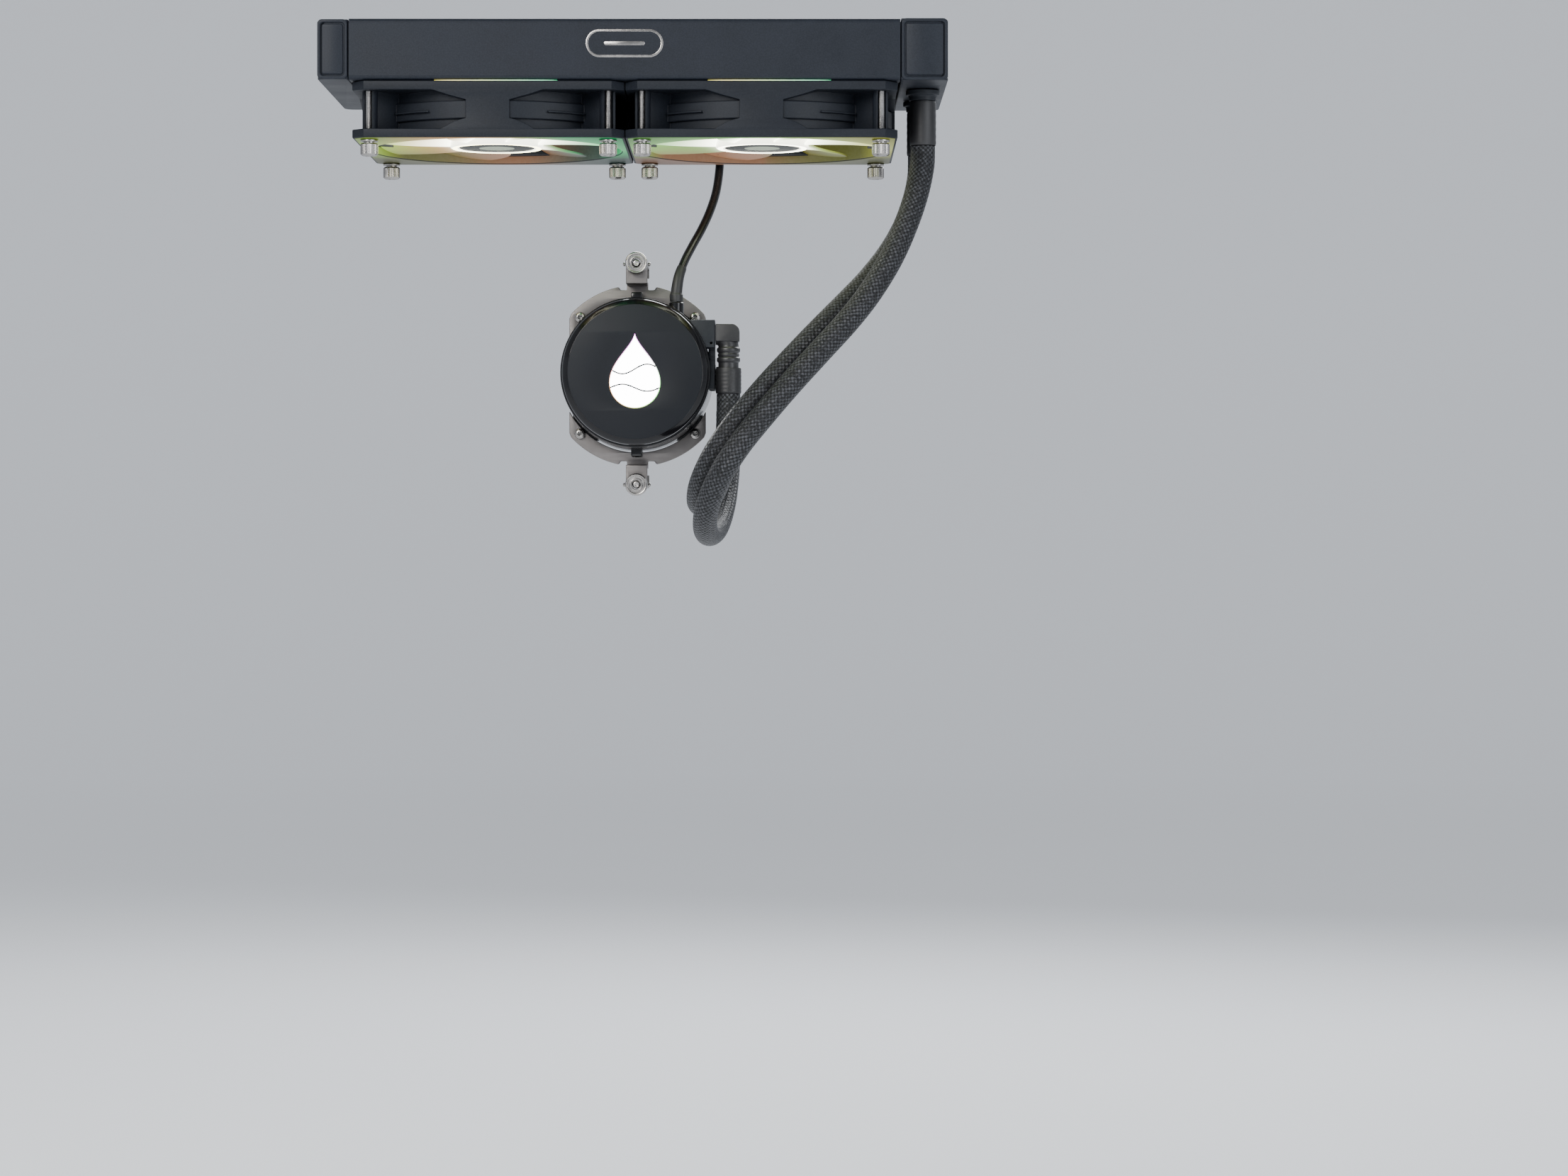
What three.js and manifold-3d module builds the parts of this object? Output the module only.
// A 240 mm sealed liquid cooler: a radiator, two fans, two hoses and a pump head with its cold plate.
// Millimetres. +X runs along the radiator to its hose end, +Y to the board that the cold plate faces,
// and +Z up to the case roof that the radiator hangs from. z = 0 is the radiator's top face, and the
// origin is the middle of that face.
import * as THREE from 'three';
import { mergeVertices } from 'three/addons/utils/BufferGeometryUtils.js';
import Module from 'manifold-3d';

const wasm = await Module();
wasm.setup();

// Clearances
const GAP = 0.3;
const RUNNING_GAP = 0.06;

// Radiator
const RADIATOR_HALF_DEPTH = 60;
const RADIATOR_HEIGHT = 27;
const SHEET = 1.2;
const CHANNEL_HALF_LENGTH = 120.9;
const FLANGE_WIDTH = 11;
const FAN_HALF_PITCH = 60;
const SCREW_OFFSET = 52.5;
const FLANGE_HOLE_RADIUS = 1.9;
const TUBE_COUNT = 12;
const TUBE_PITCH = 7.7;
const TUBE_WIDTH = 1.8;
const CORE_HALF_DEPTH = 48.7;
const RETURN_TANK = { inner: -121.2, outer: -135 };
const PORTS_TANK = { inner: 121.2, outer: 142 };
const TANK_WALL = 1.6;
const PORT_X = 132;
const PORT_Y = 22;
const FILL_HOLE_RADIUS = 3;

// Fans, in their own frame: z = 0 is the radiator side and z = -FAN_THICKNESS the intake side
const FAN_TOP = -RADIATOR_HEIGHT - GAP;
const FAN_THICKNESS = 25;
const FAN_HALF_WIDTH = 59.8;
const FAN_CORNER = 5.5;
const FAN_FLANGE = 4;
const BORE_RADIUS = 56.5;
const DUCT_RADIUS = 58;
const BLADE_COUNT = 7;
const BLADE_TIP_RADIUS = 55.2;
const HUB_RADIUS = 21;
const ROTOR_SHAFT_RADIUS = 1.5;

// Hoses and cable
const HOSE_RADIUS = 5.5;
const SLEEVE_RADIUS = 5.95;
const CABLE_RADIUS = 2;

// Pump head, in its own frame: z = 0 is the y = 0 plane, and z = -25 the front of the cap
const PUMP_X = 1.5;
const PUMP_Z = -150.5;
const CAP_FRONT = -25;
const CAP_REAR = -31;
const HOUSING_REAR = -71.5;
const HOUSING_RADIUS = 35.3;
const BRACKET_FRONT = -62;
const BRACKET_REAR = -64;
const COLD_FACE = -77;
const STUD_OFFSET = 51.3;
const STUD_RADIUS = 1.7;
const BRACKET_SCREW = { x: 26.9, y: 27.2 };
const ELBOW_X = 44.3;

// The hoses' routes, from the radiator's ports down, under and up to the pump head's elbows
const FRONT_HOSE_ROUTE = [
  [132, -22, -52.3], [132, -22, -56], [131.7, -22.4, -61], [129.5, -24.1, -72], [124.9, -27.8, -86.2],
  [117.4, -32.9, -103.3], [107.6, -38.1, -119.4], [98.3, -42, -131.4], [85.5, -46.2, -145.6],
  [72.6, -49.4, -159.9], [62.4, -50.7, -171.8], [50.1, -48.8, -186.9], [42.1, -43.5, -199.2],
  [35.9, -31.4, -213.1], [34.5, -14.5, -222.5], [36.1, 0.8, -225.3], [39.3, 19.6, -221.7],
  [42.2, 35.6, -211.1], [43.8, 46.6, -196.8], [44.3, 50.8, -184.5], [44.3, 51, -180.3],
];
const REAR_HOSE_ROUTE = [
  [132, 22, -52.3], [132, 21.9, -56], [131.7, 20.3, -62], [129.3, 15.2, -73], [124.5, 6.3, -86],
  [117.2, -4.3, -99], [107.5, -15.2, -111.8], [98.2, -23, -121.9], [85.4, -31.3, -135.2],
  [72.3, -37.6, -149.2], [61.7, -40.6, -160.9], [48.8, -40.8, -176.4], [39.8, -36.2, -189.1],
  [33.2, -25.2, -202.3], [31.6, -9.5, -210.6], [34.2, 7.4, -211.2], [38.8, 21.6, -203.6],
  [42.4, 31.6, -190.5], [44, 36, -175.5], [44.3, 36.9, -165], [44.3, 37, -160.3],
];

// The cable's route from the pump housing up to its hank behind the fans
const CABLE_ROUTE = [
  [20.3, 36, -117.7], [20.3, 36, -114], [20.6, 36.1, -111], [21.6, 37.2, -105.5], [23.9, 40.4, -98.8],
  [27.4, 45, -91.4], [31.7, 50.6, -83], [35.4, 56, -74.2], [38.1, 60.6, -65.2], [39.5, 63.6, -56],
  [40, 64.8, -47.5], [40, 64.8, -42.3],
];
const HANK = { left: -12, right: 28, z: -32, turnRadius: 12, front: 62.7, rear: 71.3, split: 66.9 };
const PLUG = { x0: -4.3, x1: 7.7, y0: 67.3, y1: 73.1, z0: -25.2, z1: -14.8 };

// Finishes: colour, roughness, metalness
const SATIN_BLACK = [0x2c3036, 0.55, 0.3];
const BLACK_PLASTIC = [0x1b1d20, 0.45, 0];
const GLOSS_BLACK = [0x0c0d0f, 0.15, 0];
const FROSTED = [0xd9e2d4, 0.4, 0];
const NICKEL = [0xb9b6b0, 0.3, 1];
const STEEL = [0x8d8883, 0.4, 1];
const COPPER = [0xb87050, 0.35, 1];
const RUBBER = [0x121212, 0.85, 0];
const BRAID = [0x15161a, 0.6, 0];
const BOARD_GREEN = [0x1d3a26, 0.5, 0];
const WINDING = [0xa45a35, 0.45, 0.8];
const WHITE_CERAMIC = [0xe6e4df, 0.3, 0];

const root = new THREE.Group();

// Turns a three.js geometry into a solid that can be joined and cut
function solid(geometry) {
  const plain = geometry.clone();
  plain.deleteAttribute('normal');
  plain.deleteAttribute('uv');
  const merged = mergeVertices(plain, 1e-4);
  const corners = merged.index.array;
  const points = merged.attributes.position.array;
  const triangles = [];
  for (let i = 0; i < corners.length; i += 3) {
    const [a, b, c] = [corners[i], corners[i + 1], corners[i + 2]];
    if (a !== b && b !== c && c !== a) triangles.push([a, b, c]);
  }
  const corner = (i) => new THREE.Vector3(points[3 * i], points[3 * i + 1], points[3 * i + 2]);
  const cross = new THREE.Vector3();
  let volume = 0;
  for (const [a, b, c] of triangles) {
    volume += corner(a).dot(cross.crossVectors(corner(b), corner(c)));
  }
  const outward = volume < 0 ? triangles.map(([a, b, c]) => [a, c, b]) : triangles;
  return new wasm.Manifold(new wasm.Mesh({
    numProp: 3,
    vertProperties: new Float32Array(points),
    triVerts: new Uint32Array(outward.flat()),
  }));
}

// Adds a solid to a group as a named mesh
function place(group, name, body, [color, roughness, metalness]) {
  const mesh = body.getMesh();
  const geometry = new THREE.BufferGeometry();
  geometry.setAttribute('position', new THREE.BufferAttribute(mesh.vertProperties, 3));
  geometry.setIndex(new THREE.BufferAttribute(mesh.triVerts, 1));
  geometry.computeVertexNormals();
  const node = new THREE.Mesh(geometry, new THREE.MeshStandardMaterial({ color, roughness, metalness }));
  node.name = name;
  group.add(node);
}

function join(...bodies) {
  return bodies.reduce((whole, body) => whole.add(body));
}

function block(x0, x1, y0, y1, z0, z1) {
  const geometry = new THREE.BoxGeometry(x1 - x0, y1 - y0, z1 - z0);
  geometry.translate((x0 + x1) / 2, (y0 + y1) / 2, (z0 + z1) / 2);
  return solid(geometry);
}

// A cylinder along Z
function post(radius, z0, z1, sides = 24, x = 0, y = 0) {
  const geometry = new THREE.CylinderGeometry(radius, radius, z1 - z0, sides);
  geometry.rotateX(Math.PI / 2);
  geometry.translate(x, y, (z0 + z1) / 2);
  return solid(geometry);
}

function ring(outer, inner, z0, z1, sides = 24) {
  return post(outer, z0, z1, sides).subtract(post(inner, z0 - 1, z1 + 1, sides));
}

// A turned solid about Z, from a profile of [radius, z] points
function turned(profile, sides) {
  const geometry = new THREE.LatheGeometry(profile.map(([r, z]) => new THREE.Vector2(r, z)), sides);
  geometry.rotateX(Math.PI / 2);
  return solid(geometry);
}

// A flat outline in XY, from z0 to z1
function plate(shape, z0, z1, curveSegments = 8) {
  const geometry = new THREE.ExtrudeGeometry(shape, { depth: z1 - z0, bevelEnabled: false, curveSegments });
  geometry.translate(0, 0, z0);
  return solid(geometry);
}

function outline(points) {
  return new THREE.Shape(points.map(([x, y]) => new THREE.Vector2(x, y)));
}

function squareOutline(half, chamfer) {
  const edge = half - chamfer;
  return outline([
    [-edge, -half], [edge, -half], [half, -edge], [half, edge],
    [edge, half], [-edge, half], [-half, edge], [-half, -edge],
  ]);
}

function routeCurve(route) {
  const points = route.map((point) => new THREE.Vector3(...point));
  return new THREE.CatmullRomCurve3(points, false, 'centripetal');
}

function tube(route, radius, sides, steps, boreRadius = 0) {
  const section = new THREE.Shape();
  section.absarc(0, 0, radius, 0, 2 * Math.PI);
  if (boreRadius > 0) {
    const bore = new THREE.Path();
    bore.absarc(0, 0, boreRadius, 0, 2 * Math.PI, true);
    section.holes.push(bore);
  }
  const extrudePath = routeCurve(route);
  return solid(new THREE.ExtrudeGeometry(section, { steps, extrudePath, curveSegments: sides / 2 }));
}

// Copies of a body turned evenly about Z
function around(body, count) {
  return Array.from({ length: count }, (_, i) => body.rotate([0, 0, (360 * i) / count]));
}

// Radiator core: flat tubes proud of the fin pack, brazed into a header plate at each end
function radiatorCore() {
  const fins = block(-119.6, 119.6, -CORE_HALF_DEPTH, CORE_HALF_DEPTH, -23, -4);
  const tubes = [];
  for (let i = 0; i < TUBE_COUNT; i += 1) {
    const y = (i - (TUBE_COUNT - 1) / 2) * TUBE_PITCH;
    tubes.push(block(-120.4, 120.4, y - TUBE_WIDTH / 2, y + TUBE_WIDTH / 2, -24.2, -2.8));
  }
  const headers = [-1, 1].map((side) => {
    const [x0, x1] = [side * 119.4, side * CHANNEL_HALF_LENGTH].sort((a, b) => a - b);
    return block(x0, x1, -58.5, 58.5, -25.5, -1.5);
  });
  return join(fins, ...tubes, ...headers);
}

// Side channel: a C section whose flanges carry the fan screws and the case screws
function sideChannel(side) {
  const span = (a, b) => [side * a, side * b].sort((p, q) => p - q);
  const [web0, web1] = span(RADIATOR_HALF_DEPTH - SHEET, RADIATOR_HALF_DEPTH);
  const [flange0, flange1] = span(RADIATOR_HALF_DEPTH - FLANGE_WIDTH, RADIATOR_HALF_DEPTH);
  const length = CHANNEL_HALF_LENGTH;
  let body = join(
    block(-length, length, web0, web1, -RADIATOR_HEIGHT, 0),
    block(-length, length, flange0, flange1, -SHEET, 0),
    block(-length, length, flange0, flange1, -RADIATOR_HEIGHT, -RADIATOR_HEIGHT + SHEET),
  );
  for (const fan of [-1, 1]) {
    for (const end of [-1, 1]) {
      const x = fan * FAN_HALF_PITCH + end * SCREW_OFFSET;
      body = body.subtract(post(FLANGE_HOLE_RADIUS, -30, 3, 8, x, side * SCREW_OFFSET));
    }
  }
  return body;
}

// End tank: a pan open to the header plate, with its outer upright edges rounded
function endTank({ inner, outer }, inset) {
  const outward = Math.sign(outer);
  const half = RADIATOR_HALF_DEPTH - inset;
  const radius = 5;
  const shape = new THREE.Shape();
  shape.moveTo(Math.abs(inner), -half);
  shape.lineTo(Math.abs(outer) - radius, -half);
  shape.absarc(Math.abs(outer) - radius, -half + radius, radius, -Math.PI / 2, 0);
  shape.absarc(Math.abs(outer) - radius, half - radius, radius, 0, Math.PI / 2);
  shape.lineTo(Math.abs(inner), half);
  const shell = plate(shape, -RADIATOR_HEIGHT + inset, -inset, 4);
  const hollow = block(
    Math.abs(inner) - 1, Math.abs(outer) - TANK_WALL,
    -half + 2 * TANK_WALL, half - 2 * TANK_WALL,
    -RADIATOR_HEIGHT + inset + TANK_WALL, -inset - TANK_WALL,
  );
  const pan = shell.subtract(hollow);
  return outward > 0 ? pan : pan.mirror([1, 0, 0]);
}

function portsTank() {
  let body = endTank(PORTS_TANK, 0);
  for (const y of [-PORT_Y, PORT_Y]) {
    body = body.subtract(post(5, -30, -20, 12, PORT_X, y));
  }
  const fillHole = post(FILL_HOLE_RADIUS, -65, -50, 12).rotate([90, 0, 0]);
  return body.subtract(fillHole.translate([PORT_X, 0, -13.5]));
}

// Nozzle with its flange under the tank, its spigot in the tank and its barb inside the hose sleeve
function portNozzle() {
  return turned([
    [3.4, -24.6], [4.6, -24.6], [4.6, -27.3], [7.6, -27.3], [7.6, -29.6], [6.2, -32], [5, -32],
    [5, -50], [3.4, -50], [3.4, -24.6],
  ], 12);
}

function fillPlug() {
  const plug = turned([[0, 52], [2.6, 52], [2.6, 60.3], [4.6, 60.3], [4.6, 61.6], [0, 61.6]], 12);
  return plug.rotate([-90, 0, 0]).translate([PORT_X, 0, -13.5]);
}

function sleeve(z0, z1, x, y) {
  return ring(SLEEVE_RADIUS, 5.3, z0, z1, 12).translate([x, y, 0]);
}

function buildRadiator() {
  place(root, 'radiator_core', radiatorCore(), SATIN_BLACK);
  place(root, 'side_channel_front', sideChannel(-1), SATIN_BLACK);
  place(root, 'side_channel_rear', sideChannel(1), SATIN_BLACK);
  place(root, 'end_tank_return', endTank(RETURN_TANK, 0.4), SATIN_BLACK);
  place(root, 'end_tank_ports', portsTank(), SATIN_BLACK);
  place(root, 'fill_plug', fillPlug(), SATIN_BLACK);
  for (const [name, y] of [['front', -PORT_Y], ['rear', PORT_Y]]) {
    place(root, `port_nozzle_${name}`, portNozzle().translate([PORT_X, y, 0]), SATIN_BLACK);
    place(root, `hose_sleeve_top_${name}`, sleeve(-52, -32.3, PORT_X, y), RUBBER);
  }
}

// Fan frame: two square flanges, a round duct with a raised band, a flush web on each side, and at
// the radiator side a motor base on four struts with the bearing holder on it
function fanFrame() {
  const square = squareOutline(FAN_HALF_WIDTH, FAN_CORNER);
  const web = plate(outline([
    [-25.4, -3.5], [-9.4, -8.2], [-9.4, -16.4], [-21, -21.5],
    [21, -21.5], [9.4, -16.4], [9.4, -8.2], [25.4, -3.5],
  ]), 48, FAN_HALF_WIDTH).rotate([90, 0, 0]);
  let body = join(
    plate(square, -FAN_FLANGE, 0),
    plate(square, -FAN_THICKNESS, FAN_FLANGE - FAN_THICKNESS),
    post(DUCT_RADIUS, -FAN_THICKNESS, 0, 32),
    post(FAN_HALF_WIDTH - 0.4, -16.5, -8.5, 32),
    ...around(web, 4),
  );
  body = body.subtract(post(BORE_RADIUS, -30, 3, 32));
  for (const x of [-SCREW_OFFSET, SCREW_OFFSET]) {
    for (const y of [-SCREW_OFFSET, SCREW_OFFSET]) {
      body = body.subtract(post(2.2, -30, 3, 8, x, y));
    }
  }
  const strut = block(18, 57.2, -2, 2, -3.4, -0.4).rotate([0, 0, 45]);
  const holder = ring(4.6, 3.3, -17, -2.5, 12);
  return join(body, ...around(strut, 4), post(20.5, -3, 0, 20), holder);
}

// One blade, thin and swept forward, from inside the hub's wall to the tip
function fanBlade() {
  const stations = 4;
  const chordPoints = 4;
  const rootRadius = HUB_RADIUS - 0.7;
  const points = [];
  for (const skin of [-1, 1]) {
    for (let i = 0; i < stations; i += 1) {
      const along = i / (stations - 1);
      const radius = rootRadius + (BLADE_TIP_RADIUS - rootRadius) * along;
      const sweep = 0.3 * along ** 1.5;
      const span = 0.84 - 0.02 * along;
      for (let j = 0; j < chordPoints; j += 1) {
        const across = j / (chordPoints - 1);
        const angle = sweep + span * (across - 0.5);
        const rise = (13.5 - 4 * along) * (across - 0.5);
        const camber = -1.6 * 4 * across * (1 - across);
        const half = 0.35 + 0.5 * 4 * across * (1 - across);
        const z = -15.8 - 2.4 * along + rise + camber + skin * half;
        points.push(radius * Math.cos(angle), radius * Math.sin(angle), z);
      }
    }
  }
  const at = (skin, i, j) => skin * stations * chordPoints + i * chordPoints + j;
  const index = [];
  const quad = (a, b, c, d) => index.push(a, b, c, a, c, d);
  for (let i = 0; i < stations - 1; i += 1) {
    for (let j = 0; j < chordPoints - 1; j += 1) {
      quad(at(1, i, j), at(1, i + 1, j), at(1, i + 1, j + 1), at(1, i, j + 1));
      quad(at(0, i, j), at(0, i, j + 1), at(0, i + 1, j + 1), at(0, i + 1, j));
    }
    quad(at(0, i, 0), at(0, i + 1, 0), at(1, i + 1, 0), at(1, i, 0));
    quad(at(0, i + 1, chordPoints - 1), at(0, i, chordPoints - 1), at(1, i, chordPoints - 1),
      at(1, i + 1, chordPoints - 1));
  }
  for (let j = 0; j < chordPoints - 1; j += 1) {
    quad(at(0, 0, j + 1), at(0, 0, j), at(1, 0, j), at(1, 0, j + 1));
    quad(at(0, stations - 1, j), at(0, stations - 1, j + 1), at(1, stations - 1, j + 1),
      at(1, stations - 1, j));
  }
  const geometry = new THREE.BufferGeometry();
  geometry.setAttribute('position', new THREE.Float32BufferAttribute(points, 3));
  geometry.setIndex(index);
  return solid(geometry);
}

// Rotor: a hub cup open to the motor base, with the blades on its wall
function fanRotor() {
  const hub = turned([
    [0, -23.7], [19.5, -23.7], [HUB_RADIUS, -22.4], [HUB_RADIUS, -4.2], [19.4, -4.2], [19.4, -22],
    [0, -22],
  ], 24);
  return join(hub, ...around(fanBlade(), BLADE_COUNT));
}

function fanStator() {
  const arm = block(6.5, 14.5, -2.5, 2.5, -17, -9);
  const slot = block(12, 19, -1.5, 1.5, -18, -8).rotate([0, 0, 45]);
  let rim = ring(16.5, 13.2, -17, -9, 16);
  for (const cut of around(slot, 4)) {
    rim = rim.subtract(cut);
  }
  return join(ring(8, 4.95, -17, -9, 12), rim, ...around(arm, 4));
}

function buildFan(side, x) {
  const fan = new THREE.Group();
  fan.position.set(x, 0, FAN_TOP);
  root.add(fan);
  place(fan, `${side}_fan_frame`, fanFrame(), BLACK_PLASTIC);
  place(fan, `${side}_fan_rotor`, fanRotor(), FROSTED);
  place(fan, `${side}_fan_shaft`, post(ROTOR_SHAFT_RADIUS, -21.7, -5, 16), STEEL);
  const sleeveBearing = ring(3, ROTOR_SHAFT_RADIUS + RUNNING_GAP + 0.03, -18, -3.5, 16);
  place(fan, `${side}_fan_bearing`, sleeveBearing, NICKEL);
  place(fan, `${side}_fan_stator`, fanStator(), WINDING);
  place(fan, `${side}_fan_board`, ring(18.4, 4.95, -5.4, -4.2, 16), BOARD_GREEN);
}

// Long screw through a fan into the radiator's flange, with its thumb head under the fan
function fanScrew() {
  return turned([
    [0, -24.5], [1.6, -24.8], [1.6, -52.6], [3.9, -52.6], [3.9, -53.5], [2.6, -54.1], [3.9, -54.7],
    [3.9, -59.1], [3.3, -59.7], [0, -59.7],
  ], 8);
}

function buildFanScrews() {
  for (const [fanName, fan] of [['left', -1], ['right', 1]]) {
    for (const [rowName, row] of [['front', -1], ['rear', 1]]) {
      for (const [endName, end] of [['a', -1], ['b', 1]]) {
        const x = fan * FAN_HALF_PITCH + end * SCREW_OFFSET;
        const body = fanScrew().translate([x, row * SCREW_OFFSET, 0]);
        place(root, `${fanName}_fan_screw_${rowName}_${endName}`, body, NICKEL);
      }
    }
  }
}

// A drop standing on its round end
function dropOutline(scale) {
  const radius = 12.2 * scale;
  const centre = -5;
  const tip = 23.5 * scale + centre;
  const shape = new THREE.Shape();
  shape.moveTo(0, tip);
  shape.bezierCurveTo(-1.5 * scale, tip - 6.5, -radius, centre + 10 * scale, -radius, centre);
  shape.absarc(0, centre, radius, Math.PI, 2 * Math.PI, false);
  shape.bezierCurveTo(radius, centre + 10 * scale, 1.5 * scale, tip - 6.5, 0, tip);
  return shape;
}

function pumpCap() {
  const cup = turned([
    [0, CAP_FRONT], [30.8, CAP_FRONT], [32.6, -26.6], [33.6, -28], [33.6, CAP_REAR], [31.6, CAP_REAR],
    [31.6, -26.8], [0, -26.8],
  ], 32);
  return cup.subtract(plate(dropOutline(1), -30, -20, 6));
}

// Housing: a front cavity for the electronics, a wall, and a rear cavity for the impeller, on a
// square foot with rounded corners
function pumpHousing() {
  const barrel = turned([
    [0, -45], [31.2, -45], [31.2, CAP_REAR - GAP], [34.6, CAP_REAR - GAP], [HOUSING_RADIUS, -61.5],
    [HOUSING_RADIUS, HOUSING_REAR], [24, HOUSING_REAR], [24, -47], [0, -47],
  ], 32);
  const foot = plate(squareOutline(30.4, 3.4), HOUSING_REAR, BRACKET_REAR - GAP);
  const lug = block(-2.65, 2.65, 33, 38.2, BRACKET_FRONT + GAP, -50);
  const cableBoss = solid(new THREE.CylinderGeometry(3.4, 3.4, 6, 8)).translate([18.8, 29.5, -36]);
  let body = join(
    barrel,
    foot.subtract(post(30, -80, -60, 16)),
    lug,
    lug.mirror([0, 1, 0]),
    cableBoss,
  );
  body = body.subtract(block(32.6, 40, -10.5, 26.5, -60.5, CAP_REAR));
  const inlet = solid(new THREE.CylinderGeometry(3.2, 3.2, 20, 8)).rotate([0, 0, 90]);
  body = body.subtract(inlet.translate([30, -1.5, -51]));
  for (const x of [-BRACKET_SCREW.x, BRACKET_SCREW.x]) {
    for (const y of [-BRACKET_SCREW.y, BRACKET_SCREW.y]) {
      body = body.subtract(post(1.5, -69.5, -60, 8, x, y));
    }
  }
  return body;
}

// Port block on the housing's side: one boss for each hose, joined by a strap
function portBlock() {
  const right = 36.6;
  const upper = plate(outline([[24.8, 24.2], [right, 24.2], [right, 11.4], [30.4, 11.4]]), -44, -31.6);
  const lower = block(32.9, right, -7.5, 4.8, -58, -40);
  const strap = block(34.6, right, -7.5, 24.2, -52, -36);
  const clearance = post(HOUSING_RADIUS + GAP, -70, -20, 32).intersect(block(-40, 32.9, -40, 40, -70, -20));
  const bore = solid(new THREE.CylinderGeometry(3.2, 3.2, 10, 8)).rotate([0, 0, 90]);
  return join(upper, lower, strap)
    .subtract(clearance)
    .subtract(bore.translate([right, -1.5, -51]))
    .subtract(bore.translate([right, 17.5, -37]));
}

// Elbow with a square shell round its bend and a ribbed leg hanging down, in the main frame
function elbow(y, z, legEnd) {
  const start = 38.4;
  const radius = 5.4;
  const route = [[start, y, z]];
  for (let i = 0; i <= 4; i += 1) {
    const angle = (i / 4) * (Math.PI / 2);
    const x = ELBOW_X - radius + radius * Math.sin(angle);
    route.push([x, y, z - radius + radius * Math.cos(angle)]);
  }
  route.push([ELBOW_X, y, z - radius - 4], [ELBOW_X, y, legEnd]);
  const rings = [7, 11.5].map((drop) => ring(5.4, 4, z - drop - 1, z - drop + 1, 8));
  const pipe = tube(route, 4.7, 8, 9, 3.1);
  const shell = block(start, 49.4, y - 5, y + 5, z - 3.2, z + 4.9).subtract(tube(route, 4, 8, 9));
  return join(pipe, shell, ...rings.map((rib) => rib.translate([ELBOW_X, y, 0])));
}

// Bracket: a ring plate cut off at the sides, with an arm bent forward and out to the stud's flange
function bracket() {
  const band = ring(42.4, HOUSING_RADIUS + GAP + 0.3, BRACKET_REAR, BRACKET_FRONT, 40);
  const notch = block(-8.45, 8.45, 40, 50, -70, -60);
  const foot = block(-5, 5, 39.2, 43.5, BRACKET_REAR, BRACKET_FRONT);
  const arm = block(-5, 5, 42, 43.5, BRACKET_REAR, -49.3);
  const flange = block(-5, 5, 42, STUD_OFFSET, -50.8, -49.3).add(post(5, -50.8, -49.3, 16, 0, STUD_OFFSET));
  let body = band.intersect(block(-31.9, 31.9, 10, 60, -70, -40)).subtract(notch);
  for (const x of [-BRACKET_SCREW.x, BRACKET_SCREW.x]) {
    body = body.subtract(post(1.5, -70, -60, 8, x, BRACKET_SCREW.y));
  }
  return join(body, foot, arm, flange).subtract(post(2.2, -60, -40, 10, 0, STUD_OFFSET));
}

// Hook: a stud through the bracket's flange, a cross pin behind it, and a strip with a lip that
// catches under the board's retention bracket
function hook() {
  return join(
    post(STUD_RADIUS, -54, -44, 10, 0, STUD_OFFSET),
    block(-6.5, 6.5, 50.3, 52.3, -53.1, -51.1),
    block(-5, 5, 50.3, 52.3, -76.5, -52),
    block(-5, 5, 46.3, 52.3, -76.5, -74.5),
  );
}

function thumbNut() {
  return turned([
    [2.4, -43], [4.7, -43], [5.25, -43.6], [5.25, -48.5], [4.7, -49], [2.05, -49], [2.05, -44.4],
    [2.4, -44.4], [2.4, -43],
  ], 14).translate([0, STUD_OFFSET, 0]);
}

function bracketScrew(x, y) {
  return turned([[0, -60], [1.8, -60], [2.5, -60.7], [2.5, -61.7], [1.15, -61.7], [1.15, -69], [0, -69]], 8)
    .translate([x, y, 0]);
}

// Impeller: a magnet under a disc with six curved-back vanes, bored for its shaft
function impeller() {
  const vane = block(4.5, 14.3, -0.6, 0.6, -62, -57).rotate([0, 0, 25]).translate([1.5, -2.5, 0]);
  const body = join(post(8.5, -56.5, -48.5, 16), post(15, -57.7, -56.2, 20), ...around(vane, 6));
  return body.subtract(post(ROTOR_SHAFT_RADIUS + RUNNING_GAP + 0.03, -70, -40, 16));
}

function jetPlate() {
  return post(23.6, -69, -67.4, 20).subtract(block(-9, 9, -1.6, 1.6, -75, -60));
}

// Cold plate: a square of copper with a pack of thin fins inside the seal
function coldPlate() {
  const fins = [];
  for (let i = 0; i < 11; i += 1) {
    const y = (i - 5) * 2.4;
    fins.push(block(-13, 13, y - 0.6, y + 0.6, -73.6, -70.2));
  }
  return join(plate(squareOutline(28, 3), COLD_FACE, -73.2), ...fins);
}

function pumpStator() {
  const arm = block(10.5, 15.8, -3, 3, -43, -34);
  return join(ring(11.5, 7, -44, -33, 16), ring(18, 15, -44, -33, 16), ...around(arm, 4));
}

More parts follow.
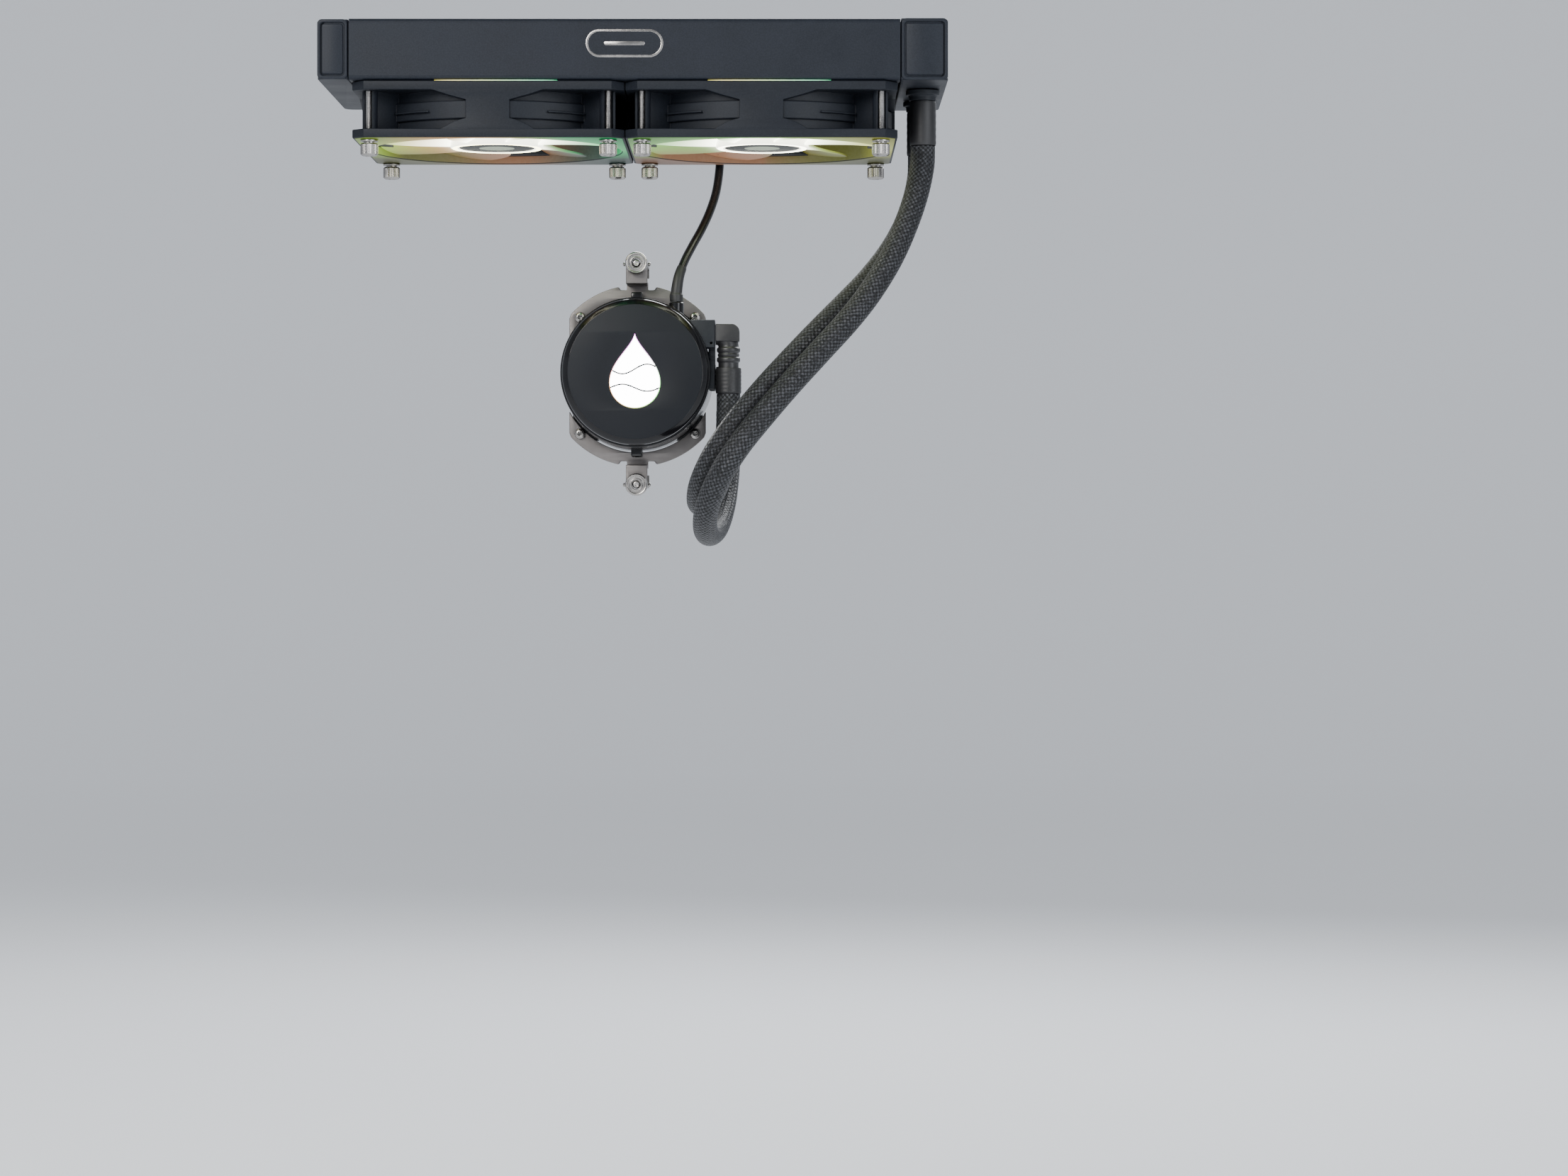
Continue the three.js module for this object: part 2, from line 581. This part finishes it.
function buildPumpHead() {
  const pump = new THREE.Group();
  pump.position.set(PUMP_X, 0, PUMP_Z);
  pump.rotation.x = Math.PI / 2;
  root.add(pump);
  place(pump, 'pump_cap', pumpCap(), SATIN_BLACK);
  place(pump, 'pump_lens', plate(dropOutline(0.965), -26.8, CAP_FRONT, 6), WHITE_CERAMIC);
  place(pump, 'led_board', ring(30, 2, -29.2, -28, 20), BOARD_GREEN);
  place(pump, 'pump_stator', pumpStator(), WINDING);
  place(pump, 'pump_housing', pumpHousing(), GLOSS_BLACK);
  place(pump, 'port_block', portBlock(), BLACK_PLASTIC);
  place(pump, 'impeller', impeller(), BLACK_PLASTIC);
  place(pump, 'impeller_shaft', post(ROTOR_SHAFT_RADIUS, -67, -47.3, 16), WHITE_CERAMIC);
  place(pump, 'jet_plate', jetPlate(), STEEL);
  place(pump, 'cold_plate_seal', ring(23.4, 20.5, -72.9, -71.8, 20), RUBBER);
  place(pump, 'cold_plate', coldPlate(), COPPER);
  for (const [name, up] of [['upper', 1], ['lower', -1]]) {
    const flip = (body) => (up > 0 ? body : body.mirror([0, 1, 0]));
    place(pump, `bracket_${name}`, flip(bracket()), STEEL);
    place(pump, `hook_${name}`, flip(hook()), STEEL);
    place(pump, `thumb_nut_${name}`, flip(thumbNut()), NICKEL);
    for (const [side, x] of [['left', -BRACKET_SCREW.x], ['right', BRACKET_SCREW.x]]) {
      place(pump, `bracket_screw_${name}_${side}`, bracketScrew(x, up * BRACKET_SCREW.y), NICKEL);
    }
  }
}

function buildHoses() {
  place(root, 'elbow_upper', elbow(37, -133, -157.5), BLACK_PLASTIC);
  place(root, 'elbow_lower', elbow(51, -152, -177.5), BLACK_PLASTIC);
  place(root, 'hose_sleeve_pump_upper', sleeve(-160, -148.3, ELBOW_X, 37), RUBBER);
  place(root, 'hose_sleeve_pump_lower', sleeve(-180, -167.3, ELBOW_X, 51), RUBBER);
  place(root, 'hose_front', tube(FRONT_HOSE_ROUTE, HOSE_RADIUS, 10, 22), BRAID);
  place(root, 'hose_rear', tube(REAR_HOSE_ROUTE, HOSE_RADIUS, 10, 22), BRAID);
}

// Hank: the cable's turns as one oval ring, with room left beside the second layer for the plug
function cableHank() {
  const oval = (radius) => {
    const shape = new THREE.Shape();
    shape.absarc(HANK.right, HANK.z, radius, -Math.PI / 2, Math.PI / 2);
    shape.absarc(HANK.left, HANK.z, radius, Math.PI / 2, 1.5 * Math.PI);
    return shape;
  };
  const outer = plate(oval(HANK.turnRadius + CABLE_RADIUS + 0.1), -HANK.rear, -HANK.front, 6);
  const inner = plate(oval(HANK.turnRadius - CABLE_RADIUS - 0.1), -HANK.rear - 1, -HANK.front + 1, 6);
  const ringBody = outer.subtract(inner).rotate([90, 0, 0]);
  const room = join(
    block(HANK.left - 30, HANK.left, HANK.split, HANK.rear + 1, -60, 0),
    block(HANK.left - 1, PLUG.x1 + GAP, HANK.split, HANK.rear + 1, HANK.z, 0),
  );
  return ringBody.subtract(room);
}

function cablePlug() {
  const shell = block(PLUG.x0, PLUG.x1, PLUG.y0, PLUG.y1, PLUG.z0, PLUG.z1);
  const keyway = block(PLUG.x0 - 1, PLUG.x0 + 7, PLUG.y1 - 1.2, PLUG.y1 + 1, PLUG.z0 + 3.2, PLUG.z1 - 3.2);
  return shell.subtract(keyway);
}

function buildCable() {
  place(root, 'pump_cable', tube(CABLE_ROUTE, CABLE_RADIUS, 8, 12), RUBBER);
  place(root, 'pump_cable_hank', cableHank(), RUBBER);
  place(root, 'pump_cable_plug', cablePlug(), BLACK_PLASTIC);
}

buildRadiator();
buildFan('left', -FAN_HALF_PITCH);
buildFan('right', FAN_HALF_PITCH);
buildFanScrews();
buildPumpHead();
buildHoses();
buildCable();

export default root;
